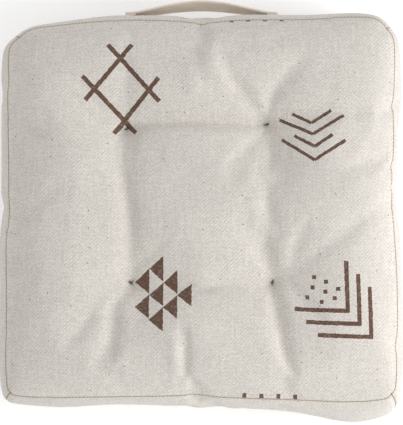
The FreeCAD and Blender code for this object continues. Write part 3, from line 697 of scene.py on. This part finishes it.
# %% Tugs, in millimetres: place, reach, and how far it is drawn
TUGS = [
    ((178, -222, 30), (58, 34, 44), (0, -17, 0)),
    ((-90, -222, 50), (80, 34, 60), (0, 5, 0)),
    ((224, 10, 46), (30, 60, 80), (-4, 0, 0)),
    ((-224, -35, 46), (30, 40, 70), (-4, 0, 0)),
    ((2, 215, 70), (24, 30, 60), (0, -2, 0)),
    ((-180, 218, 60), (60, 45, 90), (0, -7.5, 0)),
    ((-222, 216, 60), (36, 32, 90), (2, -7, 0)),
    ((178, 216, 60), (45, 40, 90), (0, 5, 0)),
    ((224, 216, 60), (20, 30, 90), (-1, -5, 0)),
]
# The corners that are rounded by wear: which one, and how big the round is.
ROUNDED = [((-1, 1), 34), ((1, 1), 26), ((1, -1), 12), ((-1, -1), 8)]


def tugged(place):
    for centre, reach, draw in TUGS:
        away = sum(((a / MM - c) / r) ** 2 for a, c, r in zip(place, centre, reach))
        place = place + Vector(draw) * MM * math.exp(-away)
    return place


def rounded(flat):
    """How far a worn corner draws a point in: a square patch of the corner becomes a quarter disc."""
    shift = Vector((0, 0, 0))
    for side, size in ROUNDED:
        inner = size * MM
        dx = flat.x * side[0] - (HALF_WIDTH - inner)
        dy = flat.y * side[1] - (HALF_DEPTH - inner)
        if dx > 0 and dy > 0:
            keep = max(dx, dy) / math.hypot(dx, dy)
            shift += Vector((side[0] * dx, side[1] * dy, 0)) * (keep - 1)
    return shift


places = [tugged(p + rounded(flat)) for p, flat in zip(places, flat_places)]
for p in places:
    p.z = max(p.z, 0.0)
cover_mesh.vertices.foreach_set("co", [c for p in places for c in p])
cover_mesh.update()
print("cover box", [round(f(c[i] for c in places), 4) for f in (min, max) for i in range(3)])

# %% [markdown]
# ## Cutting the cover into its panels
# Each panel becomes a piece of its own. At a seam both panels turn in and lie face to face
# inside, which is what makes the fine groove of a plain seam. So each panel's edge is
# drawn back a little and then extruded three times: round the shoulder, into the seam, and
# down as the seam allowance. Solidify gives the canvas its thickness, towards the inside.

# %% Panels
ALLOWANCE = [(1.6, 0.0), (0.12, 0.3), (0.3, 1.7), (0.55, 5.0)]
CANVAS = 0.9 * MM
# The cloth that each panel is cut from, in metres, its seam allowances included.
FLAT_PLACE = {
    "top": lambda c: (c.x, c.y), "bottom": lambda c: (-c.x, c.y),
    "front": lambda c: (c.x, c.z), "back": lambda c: (-c.x, c.z),
    "left": lambda c: (-c.y, c.z), "right": lambda c: (c.y, c.z),
}


def make_panel(name, number, material):
    """Cuts one panel out of the cover, turns its edges in and gives it thickness."""
    bm = bmesh.new()
    bm.from_mesh(cover_mesh)
    bm.normal_update()
    cut = bm.verts.layers.float_vector["cut"]
    panel_of = bm.faces.layers.int["panel"]
    inward = {v: -v.normal.copy() for v in bm.verts}
    bmesh.ops.delete(bm, geom=[f for f in bm.faces if f[panel_of] != number], context="FACES")
    rim = [v for v in bm.verts if v.is_boundary]
    on_seam = {v: v.co.copy() for v in rim}
    cut_seam = {v: v[cut].copy() for v in rim}
    back, back_cut = {}, {}
    for v in rim:
        inner = [e.other_vert(v) for e in v.link_edges if not e.is_boundary]
        if not inner:
            inner = [w for f in v.link_faces for w in f.verts if not w.is_boundary]
        back[v] = sum(((w.co - v.co) for w in inner), Vector()).normalized()
        back_cut[v] = sum(((w[cut] - v[cut]) for w in inner), Vector()).normalized()
    source = {v: v for v in rim}
    for step, (along, down) in enumerate(ALLOWANCE):
        if step:
            made = bmesh.ops.extrude_edge_only(bm, edges=[e for e in bm.edges if e.is_boundary])
            fresh = {g for g in made["geom"] if isinstance(g, bmesh.types.BMVert)}
            old = {}
            for v in fresh:
                before = next(e.other_vert(v) for e in v.link_edges if e.other_vert(v) not in fresh)
                old[v] = source[before]
            source = old
        for v, first in source.items():
            v.co = on_seam[first] + (back[first] * along + inward[first] * down) * MM
            v[cut] = cut_seam[first] + back_cut[first] * (along - down) * MM
    uv = bm.loops.layers.uv.new("cut")
    for f in bm.faces:
        f.smooth = True
        for loop in f.loops:
            loop[uv].uv = FLAT_PLACE[name](loop.vert[cut])
    mesh = bpy.data.meshes.new("canvas_" + name)
    bm.to_mesh(mesh)
    bm.free()
    mesh.materials.append(material)
    piece = new_piece("canvas_" + name, mesh)
    wall = piece.modifiers.new("canvas thickness", "SOLIDIFY")
    wall.thickness = CANVAS
    wall.offset = -1
    wall.use_even_offset = False
    smooth = piece.modifiers.new("smooth", "SUBSURF")
    smooth.levels = smooth.render_levels = 1
    return piece


cover = {}
for number, name in enumerate(PANELS):
    cover[name] = make_panel(name, number, printed_canvas if name == "top" else plain_canvas)
    node = name + "_panel" if name in ("top", "bottom") else "border_" + name
    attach(cover[name], "cushion")
    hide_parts(node)
print("panels", sorted(p.name for p in cover.values()))

# %% [markdown]
# ## The filling
# The fibre fills the cover, so it has the cover's shape, a little smaller and softer.

# %% Filling
INSIDE, UNDER_TOP, OVER_BOTTOM = 2.5 * MM, 3.5 * MM, 2.5 * MM
SMOOTHINGS = 4

bm = bmesh.new()
bm.from_mesh(cover_mesh)
for _ in range(SMOOTHINGS):
    bmesh.ops.smooth_vert(bm, verts=bm.verts, factor=0.5, use_axis_x=True, use_axis_y=True,
                          use_axis_z=True)
bm.normal_update()
for v, normal in [(v, v.normal.copy()) for v in bm.verts]:
    v.co -= normal * INSIDE
    # In a dimple the smoothing would lift the fibre through the canvas, so it is kept below.
    if flat_places[v.index].z > TOP - MM:
        v.co.z = min(v.co.z, places[v.index].z - UNDER_TOP)
    elif flat_places[v.index].z < BOTTOM + MM:
        v.co.z = max(v.co.z, places[v.index].z + OVER_BOTTOM)
for f in bm.faces:
    f.smooth = True
filling_mesh = bpy.data.meshes.new("filling")
bm.to_mesh(filling_mesh)
bm.free()
filling_mesh.materials.append(filling_finish)
filling = new_piece("filling", filling_mesh)
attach(filling, "cushion")
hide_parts("fibre_filling")

# %% [markdown]
# ## Seam stitches
# The thread of each seam shows as a row of short dashes down in the groove. A stitch is a
# tiny ellipsoid with few faces, because there are about a thousand of them. The row is
# laid by walking along the seam and setting one down at each step.

# %% Stitches
STITCH, GAP, THREAD = 2.9 * MM, 1.0 * MM, 0.75 * MM
LIFT = 0.15 * MM

bm = bmesh.new()
bmesh.ops.create_uvsphere(bm, u_segments=6, v_segments=5, radius=1,
                          matrix=Matrix.Diagonal((THREAD / 2, THREAD / 2, STITCH / 2, 1)))
one_stitch = bpy.data.meshes.new("one stitch")
bm.to_mesh(one_stitch)
bm.free()


def seam_points(wanted, order):
    """The places of the cover's vertices on a seam, in order."""
    found = []
    for i, flat in enumerate(flat_places):
        if wanted(flat):
            found.append((order(flat), places[i] + cover_mesh.vertices[i].normal * LIFT))
    return [p for _, p in sorted(found, key=lambda item: item[0])]


def sew(name, points, closed, replaced):
    """Lays stitches along a line of points."""
    if closed:
        points = points + points[:1]
    lengths = [(b - a).length for a, b in zip(points, points[1:])]
    total = sum(lengths)
    count = int(total / (STITCH + GAP))
    step = total / count
    bm = bmesh.new()
    run, k = 0.0, 0
    for number in range(count):
        middle = (number + 0.5) * step
        while run + lengths[k] < middle:
            run += lengths[k]
            k += 1
        place = points[k].lerp(points[k + 1], (middle - run) / lengths[k])
        turn = (points[k + 1] - points[k]).to_track_quat("Z", "Y").to_matrix().to_4x4()
        stitch = one_stitch.copy()
        stitch.transform(Matrix.Translation(place) @ turn)
        bm.from_mesh(stitch)
        bpy.data.meshes.remove(stitch)
    for f in bm.faces:
        f.smooth = True
    mesh = bpy.data.meshes.new(name)
    bm.to_mesh(mesh)
    bm.free()
    mesh.materials.append(thread_finish)
    piece = new_piece(name, mesh)
    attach(piece, "cushion")
    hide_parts(replaced)
    print(name, count, "stitches over", round(total, 3), "m")
    return piece


NEAR = 0.1 * MM


def on_rim(flat):
    """Whether a flat place lies on the upright walls of the cover."""
    return HALF_WIDTH - abs(flat.x) < NEAR or HALF_DEPTH - abs(flat.y) < NEAR


for name, level in (("top_seam", TOP), ("bottom_seam", BOTTOM)):
    line = seam_points(lambda c: abs(c.z - level) < NEAR and on_rim(c),
                       lambda c: math.atan2(c.y, c.x))
    sew("stitches_" + name, line, True, name)
for corner, (side_x, side_y) in {"front_left": (-1, -1), "front_right": (1, -1),
                                 "back_left": (-1, 1), "back_right": (1, 1)}.items():
    line = seam_points(lambda c: (Vector((c.x - side_x * HALF_WIDTH,
                                          c.y - side_y * HALF_DEPTH)).length < NEAR),
                       lambda c: c.z)
    sew("stitches_corner_" + corner, line, False, "corner_seam_" + corner)

# %% [markdown]
# ## The ties
# A tie is a loop of twine through the whole cushion: a short stitch across the dimple on
# top, two strands down through the filling, a stitch underneath, and a knot on top with
# its two cut tails. It is drawn as a curve with a round section, as twine is bent, and
# then made a mesh.

# %% Ties
TWINE = 0.9 * MM
STRANDS = 2.6


def tie_curve(name, lines):
    """Twine that follows smooth lines of points, made a mesh."""
    data = bpy.data.curves.new(name, "CURVE")
    data.dimensions = "3D"
    data.bevel_depth = TWINE / 2
    data.bevel_resolution = 2
    data.use_fill_caps = True
    data.resolution_u = 6
    for points in lines:
        spline = data.splines.new("NURBS")
        spline.points.add(len(points) - 1)
        for target, p in zip(spline.points, points):
            target.co = (*p, 1)
        spline.order_u = 3
        spline.use_endpoint_u = True
    rope = new_piece(name + "_line", data)
    graph = bpy.context.evaluated_depsgraph_get()
    mesh = bpy.data.meshes.new_from_object(rope.evaluated_get(graph))
    bpy.data.objects.remove(rope)
    mesh.name = name
    return mesh


# A simple overhand knot and its tails, in millimetres, about the middle of the top stitch.
KNOT = [(-STRANDS, 0, -4), (-STRANDS, 0, 1.4), (-1.4, 0.3, 1.6), (0.6, 1.1, 1.6), (1.3, 0.1, 1.1),
        (0.3, -1.1, 1.8), (-1.0, -0.5, 2.6), (-0.4, 0.9, 2.5), (1.0, 0.7, 1.8), (1.6, -0.6, 1.8)]
TAILS = {"back_left": (0.5, 3.5), "back_right": (-5.5, -1.5), "front_left": (2.0, 4.0),
         "front_right": (1.0, 5.0)}
TURNS = {"back_left": 0.5, "back_right": 0.3, "front_left": -0.7, "front_right": 1.4}


def surface_under(piece, start, direction):
    """Where a line meets a finished piece, its smoothing included."""
    graph = bpy.context.evaluated_depsgraph_get()
    hit, place, _, _ = piece.evaluated_get(graph).ray_cast(start, direction)
    assert hit, piece.name
    return place


for name, (x, y) in TIES.items():
    held = places[nearest_to(Vector((x * MM, y * MM, TOP)))]
    top = surface_under(cover["top"], Vector((held.x, held.y, 0.2)), Vector((0, 0, -1)))
    held = places[nearest_to(Vector((x * MM, y * MM, BOTTOM)))]
    bottom = surface_under(cover["bottom"], Vector((held.x, held.y, -0.1)), Vector((0, 0, 1)))
    turn = Matrix.Rotation(TURNS[name], 4, "Z")
    knot = [top + turn @ Vector(p) * MM for p in KNOT]
    tail = Vector(TAILS[name])
    end = [knot[-1] + Vector((tail.x * f, tail.y * f, h)) * MM for f, h in ((0.5, 0.9), (1.0, 1.6))]
    across = turn @ Vector((STRANDS * MM, 0, 0))
    loop = [top + across + Vector((0, 0, 1.5 * MM)), top + across - Vector((0, 0, 4 * MM)),
            bottom + across + Vector((0, 0, 4 * MM)), bottom + across - Vector((0, 0, 0.6 * MM)),
            bottom - across - Vector((0, 0, 0.6 * MM)), bottom - across + Vector((0, 0, 4 * MM)),
            top - across - Vector((0, 0, 4 * MM))]
    second = [top + across - Vector((0, 0, 4 * MM)), top + across + Vector((0, 0, 1.5 * MM)),
              top + across * 0.6 + Vector((0, 0, 1.7 * MM)), knot[4], knot[3]]
    mesh = tie_curve("tie_" + name, [loop + knot[1:] + end, second])
    for f in mesh.polygons:
        f.use_smooth = True
    mesh.materials.append(twine_finish)
    piece = new_piece("tie_" + name, mesh)
    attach(piece, "cushion")
    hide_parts("tuft_tie_" + name)
    print(piece.name, "top at", [round(c, 4) for c in top], "bottom at", round(bottom.z, 4))

# %% [markdown]
# ## The handle
# The handle is one length of webbing. Its ends are folded under and tacked to the back border, and
# between them it bows away from the cushion and droops a little. The webbing is a grid of narrow cells
# that is bent along its path, and Solidify gives it its thickness.

# %% Handle
end_low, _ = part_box("handle_end_left")
HINGE = Vector(frame["joints"][0]["pos_m"]) / MM
WEBBING_WIDTH, WEBBING_THICK = 25.0, 2.0
BOW, DROOP = 12.0, math.radians(13)
REACH, FOLD = -end_low.x / MM, 12.0
PROFILE = [(0, 1.0), (12, 0.96), (24, 0.84), (35, 0.69), (48, 0.47), (62, 0.235), (74, 0.04), (86, 0.0)]


def bow_at(x):
    """The share of the full bow at a distance from the middle."""
    x = abs(x)
    for (a, fa), (b, fb) in zip(PROFILE, PROFILE[1:]):
        if x <= b:
            return fa + (fb - fa) * (x - a) / (b - a)
    return 0.0


def webbing_place(s, w):
    """A point of the webbing: s along it from the middle, w across it, in millimetres."""
    edge = REACH - WEBBING_THICK
    x = math.copysign(min(abs(s), edge), s)
    out = 0.0
    beyond = abs(s) - edge
    if beyond > 0:
        radius = WEBBING_THICK * 0.55
        angle = min(beyond / radius, math.pi)
        x += math.copysign(radius * math.sin(angle), s)
        out = -radius * (1 - math.cos(angle))
        x -= math.copysign(max(0.0, beyond - math.pi * radius), s)
    share = sum(bow_at(x + d) for d in (-6, -3, 0, 3, 6)) / 5
    angle = DROOP * share
    away = BOW * share + out
    y = HINGE.y + away * math.cos(angle) + w * math.sin(angle)
    z = HINGE.z - away * math.sin(angle) + w * math.cos(angle)
    return Vector((x, y, z)) * MM


bm = bmesh.new()
half = REACH - WEBBING_THICK + math.pi * WEBBING_THICK * 0.55 + FOLD - 2
bmesh.ops.create_grid(bm, x_segments=180, y_segments=8, size=0.5,
                      matrix=Matrix.Diagonal((2 * half, WEBBING_WIDTH - 0.4, 1, 1)))
uv = bm.loops.layers.uv.new("cut")
for f in bm.faces:
    f.smooth = True
    for loop in f.loops:
        loop[uv].uv = (loop.vert.co.x * MM, loop.vert.co.y * MM)
for v in bm.verts:
    v.co = webbing_place(v.co.x, v.co.y)
bm.normal_update()
handle_mesh = bpy.data.meshes.new("webbing_handle")
bm.to_mesh(handle_mesh)
bm.free()
handle_mesh.materials.append(webbing_finish)
handle = new_piece("webbing_handle", handle_mesh)
wall = handle.modifiers.new("webbing thickness", "SOLIDIFY")
wall.thickness = WEBBING_THICK * MM
wall.offset = 0
edge = handle.modifiers.new("soft edges", "BEVEL")
edge.width = 0.5 * MM
edge.segments = 2
edge.limit_method = "ANGLE"
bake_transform(handle)
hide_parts("handle_strap", "handle_end_left", "handle_end_right")
print("handle hinge at", [round(c, 1) for c in HINGE], "reach", round(REACH, 1), "mm each way")

# %% [markdown]
# ## The bar tacks
# Each end of the handle is held by a bar tack: a dense zigzag of thread across the webbing.

# %% Bar tacks
for side in ("left", "right"):
    low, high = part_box("handle_tack_" + side)
    middle = (low + high) / 2
    bm = bmesh.new()
    rows = 24
    for k in range(rows):
        z = low.z + (high.z - low.z) * (k + 0.5) / rows
        lean = Matrix.Rotation(math.radians(14 if k % 2 else -14), 4, "Y")
        size = Matrix.Diagonal(((high.x - low.x) / 2, 0.35 * MM, 0.4 * MM, 1))
        place = Matrix.Translation((middle.x, high.y - 0.1 * MM, z))
        bmesh.ops.create_uvsphere(bm, u_segments=8, v_segments=6, radius=1,
                                  matrix=place @ lean @ size)
    for f in bm.faces:
        f.smooth = True
    mesh = bpy.data.meshes.new("bar_tack_" + side)
    bm.to_mesh(mesh)
    bm.free()
    mesh.materials.append(thread_finish)
    piece = new_piece("bar_tack_" + side, mesh)
    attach(piece, "cushion")
    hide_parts("handle_tack_" + side)
